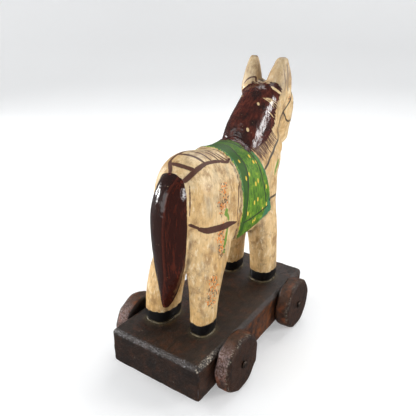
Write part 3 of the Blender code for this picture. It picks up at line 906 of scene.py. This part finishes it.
hoof_mask = (high + edge_noise * 2.4).between(HOOF_TOP + 0.2, HOOF_TOP - 0.2)
eye_place = paint.attribute("eye")
chips = paint.cloud(1.1, 2, seed=43).between(0.72, 0.78) * hollow_place.between(0.0, -0.3)
rubbed_tips = high.between(horse_high.z - 2.0, horse_high.z - 0.8) * stains.between(0.35, 0.6)
surface = paint.lay(
    surface,
    (hoof_mask, HOOF_BLACK),
    (eye_place.between(1.32, 1.18) * 0.95, LINE_BLACK),
    (eye_place.between(0.98, 0.88), EYE_WHITE),
    (eye_place.between(0.52, 0.45), HOOF_BLACK),
    (paint.attribute("nostril").between(1.0, 0.7) * 0.8, DIRT_AND_SHADE),
    (paint.attribute("lips").between(0.6, 0.3) * 0.85, LINE_BROWN),
    (chips * 0.7 * (1 - hoof_mask), CREAM),
    (rubbed_tips * 0.8, LINE_BROWN),
)
dark_paint = mane_mask.most(tail_mask).most(hoof_mask * 0.5)
gloss = 0.34 + stains * 0.22 + (cloth_mask + brown_mask) * 0.1 - dark_paint * 0.29 + chips * 0.3
brush_height = grain * 0.7 + stains * 0.5 - pitted * 0.6 + bristles * cloth_mask * 0.9
ripples = paint.cloud(2.6, 2, 0.5, paint.stretched(1, 1, 0.8), seed=45)
brush_height = brush_height * (1 - dark_paint * 0.7) + ripples * dark_paint * 3.0 + spot_mask * 0.3
paint.coat(base_color=surface, roughness=gloss, normal=paint.relief(brush_height, 0.2, 0.8),
           ior=PAINT_IOR, specular_ior_level=0.42)
horse_mesh.materials.append(paint.material)
fine_horse = show("carved_horse", horse_mesh)
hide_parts("horse")
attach(fine_horse, CARRIER)
print("horse painted")

# %% [markdown]
# ## The plank
#
# The stand is a sawn plank with its upper edges knocked off and its corners worn round. It
# is skinned in the same way as the horse, then its faces are given the slight waves of a
# hand plane. The stain is nearly black on top and browner at the sides. Where hands and
# shelves have rubbed the rear edge, the varnish has gone grey and shows pale specks; part of
# that grey is painted sheen, and silver glints and a line down the rear corner are painted highlights.

# %% Skin and wear the plank
PLANK_GRAIN = 0.7
PLANK_EASE = 2
WAVE = 0.26
plank_mesh = fine_skin("plank", PLANK_GRAIN, PLANK_EASE)
board, board_normals = read_points(plank_mesh)
waves = np.array([noise.noise(Vector((point[0] / 9, point[1] / 26, point[2] / 7)))
                  + 0.5 * noise.noise(Vector(point) / 3.5) for point in board])
board += board_normals * (WAVE * waves - 0.1)[:, None]
# (x, y) of each upright corner, and how far wear has rounded it
CORNERS = [
    (plank_high.x, plank_high.y, 0.4),
    (plank_low.x, plank_high.y, 0.2),
    (plank_high.x, plank_low.y, 1.0),
    (plank_low.x, plank_low.y, 1.6),
]
CORNER_REACH = 8.0
for corner_x, corner_y, wear in CORNERS:
    off = np.hypot(board[:, 0] - corner_x, board[:, 1] - corner_y)
    pull = wear * hump(off, CORNER_REACH) ** 2
    inward = np.array([-math.copysign(0.7, corner_x), -math.copysign(0.7, corner_y)])
    board[:, :2] += pull[:, None] * inward
board[:, 2] = np.clip(board[:, 2], plank_low.z, plank_high.z)
write_points(plank_mesh, board)
_, board_normals = read_points(plank_mesh)
rounded = ((neighbour_mean(plank_mesh, board, 12) - board) * board_normals).sum(axis=1)
write_attribute(plank_mesh, "edge", np.clip(-rounded / 0.6, -1, 1))

# The hooves' footprints, for the film of old glue round them
near_plank = points[points[:, 2] < SOLES + 0.4]
feet = []
for across_sign in (-1, 1):
    for is_rear in (False, True):
        foot = near_plank[(np.sign(near_plank[:, 0] - HORSE_MIDDLE) == across_sign)
                          & ((near_plank[:, 1] > 0) == is_rear)]
        hull = convex_hull_2d([Vector(spot[:2]) for spot in foot])
        feet.append([tuple(foot[index][:2]) for index in hull])
film = np.full(len(board), FAR * 2)
on_top = board[:, 2] > plank_high.z - 2
for outline in feet:
    film[on_top] = np.minimum(film[on_top], np.abs(outline_depth(*board[on_top, :2].T, outline)))
write_attribute(plank_mesh, "film", film)
print("plank skin:", len(board), "points, feet with", [len(outline) for outline in feet], "corners")

# %% Stain the plank
TOP_STAIN = colour(48, 36, 28)
TOP_RED = colour(84, 50, 32)
TOP_BLACK = colour(22, 18, 16)
SIDE_STAIN = colour(56, 35, 22)
WORN_RED = colour(120, 64, 20)
GREY_WEAR_AND_SHEEN = colour(74, 66, 62)
SILVER_GLINT = colour(160, 160, 164)
BARE = colour(206, 194, 174)
GLUE_FILM = colour(98, 88, 64)
CHAMFER = 2.4
RIGHT_FACE = plank_high.x
REAR_FACE = plank_high.y

stain = Finish("dark_stain")
board_across, board_along, board_high = stain.split(stain.place)
board_right = board_across * -1.0
below_top = PLANK_TOP - board_high
board_grain = stain.cloud(1.3, 5, 0.65, stain.stretched(1, 0.16, 1), seed=47)
blotches = stain.cloud(8, 5, 0.65, seed=53)
red_patches = stain.cloud(3.2, 5, 0.75, seed=59)
specks = stain.cloud(1.1, 4, 0.75, seed=61)
dust = stain.cloud(0.9, 2, 0.6, seed=67)
side_rub = board_right.between(28.6, 29.8) * (board_along - 8.0).math("ABSOLUTE").between(27, 14)
side_rub = side_rub * below_top.between(1.6, 2.8)
upper = below_top.between(CHAMFER + 0.6, CHAMFER)
rear_chamfer = board_along.between(REAR_FACE - CHAMFER - 0.5, REAR_FACE - CHAMFER + 0.3) * upper
side_chamfer = board_right.between(RIGHT_FACE - CHAMFER - 0.5, RIGHT_FACE - CHAMFER + 0.3) * upper
chamfer = (rear_chamfer + side_chamfer * 0.7).least(1.0)
# Painted glints of silver on the chamfers
chamfer_glints = specks.between(0.55, 0.63) * blotches.between(0.38, 0.6)
corner_rub = board_along.between(50, 62) * side_chamfer + stain.attribute("edge").between(0.45, 0.9) * 0.6
# A painted highlight runs down the rear right corner
corner_glint = board_right.between(RIGHT_FACE - 0.9, RIGHT_FACE - 0.3)
corner_glint = corner_glint * board_along.between(REAR_FACE - 0.9, REAR_FACE - 0.3)
smear = (stain.attribute("film") + (blotches - 0.5) * 8).between(4.0, 0.8)
wood = stain.lay(
    TOP_STAIN,
    (below_top.between(1.2, 3.4), SIDE_STAIN),
    (red_patches.between(0.48, 0.62) * 0.9, TOP_RED),
    (blotches.between(0.46, 0.66) * 0.7, TOP_BLACK),
    (board_grain.between(0.5, 0.7) * 0.6, TOP_BLACK),
    # Grey specks, part wear and part painted sheen
    (specks.between(0.56, 0.66) * 0.6, GREY_WEAR_AND_SHEEN),
    (dust.between(0.7, 0.76) * board_along.between(0, 60) * 0.6, BARE),
    (board_along.between(REAR_FACE - 1.5, REAR_FACE - 0.3) * 0.5, TOP_BLACK),
    (side_rub * stain.cloud(5, 4, 0.65, seed=71).between(0.42, 0.6) * 0.8, WORN_RED),
    # The chamfers are greyed, part wear and part painted sheen
    (chamfer * 0.7, GREY_WEAR_AND_SHEEN),
    (chamfer * specks.between(0.52, 0.42) * 0.75, TOP_BLACK),
    (chamfer * chamfer_glints * board_along.between(30, 60) * 0.85, SILVER_GLINT),
    (corner_rub * specks.between(0.53, 0.6) * 0.8, BARE),
    (corner_glint * specks.between(0.4, 0.52) * 0.6, SILVER_GLINT),
    (smear * specks.between(0.36, 0.5) * 0.55, GLUE_FILM),
)
stain.coat(base_color=wood, roughness=0.26 + blotches * 0.24 + smear * 0.1, specular_ior_level=0.45,
           normal=stain.relief(board_grain * 0.6 + blotches * 0.8 + specks * 1.2, 0.4, 1.0))
plank_mesh.materials.append(stain.material)
fine_plank = show("worn_plank", plank_mesh)
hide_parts("plank")
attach(fine_plank, CARRIER)
print("plank stained")

# %% [markdown]
# ## The wheels
#
# Each wheel is a disc sawn from the same dark wood and trimmed with a knife, so its rim is
# a many-sided circle. Because its shape follows a rule, a geometry tree makes it: a rounded
# rectangle is swept round a circle, which leaves the bore open, and then flats and a slight
# unevenness move its points. A seed gives every wheel flats of its own.

# %% A tree that turns a hand-cut wheel
class Tree(Graph):
    """A geometry tree with named inputs, a seed and a material, run once on a mesh."""

    def __init__(self, name, *floats):
        super().__init__(bpy.data.node_groups.new(name, "GeometryNodeTree"))
        kinds = {"Geometry": "Geometry", "Seed": "Int", "Material": "Material"}
        kinds.update(dict.fromkeys(floats, "Float"))
        self.keys = {title: self.add_socket(title, "INPUT", kind) for title, kind in kinds.items()}
        self.add_socket("Geometry", "OUTPUT", "Geometry")
        self.entry = self.tree.nodes.new("NodeGroupInput")

    def add_socket(self, title, way, kind):
        made = self.tree.interface.new_socket(title, in_out=way, socket_type=f"NodeSocket{kind}")
        return made.identifier

    def given(self, title):
        return Socket(self, self.entry.outputs[title])

    def finish(self, shape, material):
        """The last two steps of every tree: real geometry, then its material."""
        real = self.node("GeometryNodeRealizeInstances", None, {"Geometry": shape})
        coated = self.node("GeometryNodeSetMaterial", None, {"Geometry": real, "Material": material})
        last = self.tree.nodes.new("NodeGroupOutput")
        self.tree.links.new(coated.output, last.inputs["Geometry"])

    def run(self, name, start, **values):
        """Evaluate the tree on a mesh and return the plain result."""
        holder = link(bpy.data.objects.new(name, start))
        grown = holder.modifiers.new("Grow", "NODES")
        grown.node_group = self.tree
        for title, value in values.items():
            grown[self.keys[title.title()]] = value
        return evaluated(holder, name)


print("geometry tree language ready")

# %% Grow the four wheels
FLATS = 9
FLAT_ANGLE = 2 * math.pi / FLATS
SPREAD = 0.55
RIM_STEPS = 132
SECTION_STEP = 0.75
wheel = Tree("hand_cut_wheel", "Radius", "Width", "Bore", "Corner", "Flats", "Unevenness")
middle = (wheel.given("Radius") + wheel.given("Bore")) * 0.5
path = wheel.node("GeometryNodeCurvePrimitiveCircle", None, {"Resolution": RIM_STEPS, "Radius": middle})
section = wheel.node("GeometryNodeCurvePrimitiveQuadrilateral", {"mode": "RECTANGLE"},
                     {"Width": wheel.given("Radius") - wheel.given("Bore"), "Height": wheel.given("Width")})
section = wheel.node("GeometryNodeFilletCurve", {"mode": "POLY"},
                     {"Curve": section, "Count": 6, "Radius": wheel.given("Corner")})
section = wheel.node("GeometryNodeResampleCurve", {"mode": "LENGTH"},
                     {"Curve": section, "Length": SECTION_STEP * MM})
disc = wheel.node("GeometryNodeCurveToMesh", None, {"Curve": path, "Profile Curve": section})

position = wheel.node("GeometryNodeInputPosition")
across_disc, up_disc, _ = wheel.split(position)
seed = wheel.given("Seed")
turn_share = across_disc.math("ARCTAN2", up_disc) / FLAT_ANGLE
wobbled = turn_share + wheel.lumps(position, seed, 60.0, 0.0) * SPREAD
off_flat = ((wobbled.math("FRACT") - 0.5) * FLAT_ANGLE).math("COSINE")
polygon = math.cos(math.pi / FLATS) / off_flat
cut = 1 - (1 - polygon) * wheel.given("Flats")
flat_place = wheel.vector("MULTIPLY", position, (1, 1, 0))
reach = wheel.vector("LENGTH", flat_place, out=1)
move_out = wheel.scaled(flat_place, (cut - 1) * (reach / wheel.given("Radius")))
rough_share = (wheel.lumps(position, seed * 3.7, 160.0) - 0.5) * wheel.given("Unevenness")
move_rough = wheel.scaled(wheel.node("GeometryNodeInputNormal"), rough_share)
offset = wheel.vector("ADD", move_out, move_rough)
trimmed = wheel.node("GeometryNodeSetPosition", None, {"Geometry": disc, "Offset": offset})
stood = wheel.node("GeometryNodeTransform", None, {"Geometry": trimmed, "Rotation": (0, math.pi / 2, 0)})
wheel.finish(stood, wheel.given("Material"))
print("wheel tree has", len(wheel.tree.nodes), "nodes")

# %% Place the wheels
WHEEL_RADIUS = 15.95
WHEEL_BORE = 1.2
ROUND_UP = 1.06
INWARD = 0.5
CORNER_ROUND = 2.2
FLATS_SHARE = 0.6
UNEVEN = 0.9


def facing_out(mesh):
    """Turn every face of a closed mesh outwards when its volume comes out negative."""
    shape = bmesh.new()
    shape.from_mesh(mesh)
    bmesh.ops.remove_doubles(shape, verts=shape.verts, dist=WELD)
    if shape.calc_volume(signed=True) < 0:
        bmesh.ops.reverse_faces(shape, faces=shape.faces)
    shape.to_mesh(mesh)
    volume = shape.calc_volume(signed=True)
    shape.free()
    return volume / MM ** 3


rims = Finish("rim_stain")
WHEELS = {"front_left": 3, "front_right": 8, "rear_left": 14, "rear_right": 5}
for name, number in WHEELS.items():
    low, high_corner = (Vector(corner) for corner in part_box(f"wheel_{name}"))
    centre = (low + high_corner) / 2
    centre.x -= math.copysign(INWARD / 2 * MM, centre.x)
    disc_mesh = wheel.run(f"cut_wheel_{name}", bpy.data.meshes.new("start"),
                          radius=WHEEL_RADIUS * ROUND_UP * MM, width=high_corner.x - low.x + INWARD * MM,
                          bore=WHEEL_BORE * MM, corner=CORNER_ROUND * MM, flats=FLATS_SHARE,
                          unevenness=UNEVEN * MM, seed=number, material=rims.material)
    volume = facing_out(disc_mesh)

    # Each wheel is turned until its lowest point is a radius under its nail
    rim, _ = read_points(disc_mesh)
    turns = [math.radians(step) for step in range(0, 360, 3)]
    lows = [(rim[:, 2] * math.cos(turn) + rim[:, 1] * math.sin(turn)).min() for turn in turns]
    best = min(range(len(turns)), key=lambda index: abs(lows[index] + WHEEL_RADIUS))
    disc_mesh.transform(Matrix.Rotation(turns[best], 4, "X"))
    centre.z -= (lows[best] + WHEEL_RADIUS) * MM
    disc_mesh.transform(Matrix.Translation(centre))
    disc_object = show(f"cut_wheel_{name}", disc_mesh)
    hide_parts(f"wheel_{name}")
    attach(disc_object, f"{name}_wheel")
    spread = [round(value / MM, 1) for value in disc_object.dimensions]
    print(name, len(disc_mesh.polygons), "faces", spread, "mm", round(volume), "mm3")

# %% Stain the wheels
RIM_STAIN = colour(78, 50, 34)
FACE_STAIN = colour(60, 34, 18)
RIM_GLOW = colour(146, 76, 32)
RIM_SHEEN = colour(172, 146, 142)
INNER_FACE_SHADE = colour(14, 12, 11)

rim_across, rim_along, rim_high = rims.split(rims.place)
depth = rim_across.math("ABSOLUTE")
rim_grain = rims.cloud(1.1, 5, 0.7, rims.stretched(0.5, 1, 0.4), seed=73)
rim_blotches = rims.cloud(5, 5, 0.65, seed=79)
rim_specks = rims.cloud(0.7, 3, 0.75, seed=83)
on_rim = depth.between(39.6, 38.0)
turned_edge = depth.between(37.6, 39.0) * depth.between(40.5, 39.8)
sheen = rim_along.between(49, 57) * rim_high.between(9, 20) * on_rim * rim_specks.between(0.44, 0.56)
rim_colour = rims.lay(
    FACE_STAIN,
    (on_rim, RIM_STAIN),
    (rim_blotches.between(0.46, 0.66) * 0.65, TOP_BLACK),
    (rim_grain.between(0.48, 0.68) * 0.55, TOP_BLACK),
    (rims.cloud(6, 3, seed=89).between(0.5, 0.64) * on_rim * 0.45, RIM_GLOW),
    # Grey specks on the wheels, part wear and part painted sheen
    (rim_specks.between(0.6, 0.7) * 0.35, GREY_WEAR_AND_SHEEN),
    (sheen * 0.6, RIM_SHEEN),
    (turned_edge * rim_specks.between(0.56, 0.64) * 0.7, BARE),
    # The wheels' inner faces are painted near black as shade
    (depth.between(32.6, 31.8) * 0.9, INNER_FACE_SHADE),
)
rims.coat(base_color=rim_colour, roughness=0.22 + rim_blotches * 0.28, specular_ior_level=0.4,
          normal=rims.relief(rim_grain * 0.8 + rim_blotches * 0.8 + rim_specks * 1.2, 0.4, 1.0))
print("wheels stained")

# %% [markdown]
# ## Nails and glue
#
# The wheels turn on plain nails, which the solid model already holds, so they only need
# steel that has dulled and browned. Each hoof sits in a bead of squeezed-out glue. A bead
# follows an outline, which is work for a geometry tree: the hoof's footprint becomes a
# curve, wanders a little and is swept with a thickness that swells and shrinks.

# %% Dull the nails
STEEL_BROWN = colour(70, 54, 42)
STEEL_DARK = colour(36, 27, 20)
steel = Finish("dull_steel")
tarnish = steel.cloud(1.1, 4, 0.65, seed=83)
steel.coat(base_color=steel.mix(tarnish.between(0.42, 0.6), STEEL_BROWN, STEEL_DARK), metallic=0.4,
           roughness=0.36 + tarnish * 0.3, normal=steel.relief(tarnish, 0.06, 0.6))
for name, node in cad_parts.items():
    if "nail" in name:
        for holder in node.material_slots:
            holder.material = steel.material
        print("steel on", name)

# %% Lay the glue round the hooves
BEAD = 0.75
BEAD_WANDER = 1.2
BEAD_STEP = 0.8
BEAD_SEED = 4
GLUE_PALE = colour(112, 100, 72)
GLUE_DARK = colour(60, 50, 36)
glue_tree = Tree("glue_bead", "Bead", "Wander")
footprint = glue_tree.node("GeometryNodeMeshToCurve", None, {"Mesh": glue_tree.given("Geometry")})
glue_line = glue_tree.node("GeometryNodeResampleCurve", {"mode": "LENGTH"},
                           {"Curve": footprint, "Length": BEAD_STEP * MM})
glue_place = glue_tree.node("GeometryNodeInputPosition")
swell = glue_tree.lumps(glue_place, glue_tree.given("Seed"), 220.0)
push = glue_tree.lumps(glue_place, glue_tree.given("Seed") + 9.0, 150.0, out=1)
push = glue_tree.scaled(glue_tree.vector("SUBTRACT", push, (0.5, 0.5, 0.5)), glue_tree.given("Wander"))
wandering = glue_tree.node("GeometryNodeSetPosition", None, {"Geometry": glue_line, "Offset": push})
thick = glue_tree.node("GeometryNodeSetCurveRadius", None, {"Curve": wandering, "Radius": swell + 0.5})
bead_section = glue_tree.node("GeometryNodeCurvePrimitiveCircle", None,
                              {"Resolution": 12, "Radius": glue_tree.given("Bead")})
bead = glue_tree.node("GeometryNodeCurveToMesh", None, {"Curve": thick, "Profile Curve": bead_section})
glue_tree.finish(bead, glue_tree.given("Material"))

glue = Finish("old_glue")
glue_noise = glue.cloud(2.5, 3, seed=89)
glue.coat(base_color=glue.mix(glue_noise.between(0.4, 0.62), GLUE_PALE, GLUE_DARK),
          roughness=0.3 + glue_noise * 0.2, normal=glue.relief(glue_noise, 0.2, 0.8))

outline_mesh = bpy.data.meshes.new("footprints")
corners, sides = [], []
for outline in feet:
    start = len(corners)
    corners += [(x * MM, y * MM, (PLANK_TOP - 0.1) * MM) for x, y in outline]
    sides += [(start + step, start + (step + 1) % len(outline)) for step in range(len(outline))]
outline_mesh.from_pydata(corners, sides, [])
glue_mesh = glue_tree.run("glue_beads", outline_mesh, bead=BEAD * MM, wander=BEAD_WANDER * MM, seed=BEAD_SEED,
                          material=glue.material)
facing_out(glue_mesh)
glue_beads = show("glue_beads", glue_mesh)
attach(glue_beads, CARRIER)
print("glue:", len(glue_mesh.polygons), "faces")

# %% [markdown]
# ## Floor and light
#
# The toy stands on a plain pale sweep, a bowl that rises far behind it on every side, so no
# view shows an edge. A window-like lamp at either side makes the long highlights, a broad one
# behind the horse models the forms, and one overhead lights the tops. The world fills the rest.

# %% Build the sweep
# The sweep's outline as (radius, height), in metres
SWEEP = [(0.0, 0.0), (0.9, 0.0), (1.3, 0.02), (1.6, 0.12), (1.8, 0.35), (1.9, 0.8), (1.95, 1.6)]
SWEEP_SIDES = 96
PAPER = colour(226, 227, 228)
PAPER_GLOW = 0.3
sweep = bmesh.new()
profile = [sweep.verts.new((radius, 0, height)) for radius, height in SWEEP]
for first, second in zip(profile, profile[1:]):
    sweep.edges.new((first, second))
bmesh.ops.spin(sweep, geom=sweep.verts[:] + sweep.edges[:], cent=(0, 0, 0), axis=(0, 0, 1),
               angle=2 * math.pi, steps=SWEEP_SIDES, use_merge=True)
bmesh.ops.remove_doubles(sweep, verts=sweep.verts, dist=0.0001)
bmesh.ops.recalc_face_normals(sweep, faces=sweep.faces)
sweep_mesh = bpy.data.meshes.new("sweep")
sweep.to_mesh(sweep_mesh)
sweep.free()
paper = Finish("pale_paper")
paper.coat(base_color=PAPER, roughness=0.95, emission_color=(1, 1, 1, 1), emission_strength=PAPER_GLOW)
sweep_mesh.materials.append(paper.material)
floor = show("sweep", sweep_mesh)
floor.visible_glossy = False
print("sweep", [round(value, 2) for value in floor.dimensions], "m")

# %% Hang the lamps
LAMP_TARGET = Vector((0, 0.008, 0.08))
# The way to each lamp, its distance and size in metres, and its power in watts
LAMPS = {
    "side_window": ((-0.86, -0.42, 0.26), 0.8, 0.24, 2.9),
    "room": ((0.25, 0.88, 0.42), 1.3, 1.2, 8.8),
    "left_window": ((0.95, 0.16, 0.12), 0.9, 0.24, 5.0),
    "ceiling": ((0.06, -0.62, 0.80), 1.0, 0.7, 4.8),
}
AIR_COLOUR = (0.97, 0.98, 1, 1)
AIR_STRENGTH = 0.14
for name, (direction, distance, size, power) in LAMPS.items():
    light = bpy.data.lights.new(name, "AREA")
    light.size = size
    light.energy = power
    outwards = Vector(direction).normalized()
    holder = link(bpy.data.objects.new(name, light))
    holder.location = LAMP_TARGET + outwards * distance
    holder.rotation_euler = outwards.to_track_quat("Z", "Y").to_euler()
world = bpy.data.worlds.new("room")
world.use_nodes = True
air = world.node_tree.nodes["Background"].inputs
air["Color"].default_value = AIR_COLOUR
air["Strength"].default_value = AIR_STRENGTH
bpy.context.scene.world = world
bpy.context.scene.view_settings.view_transform = "Standard"
print("lamps lit:", ", ".join(LAMPS))
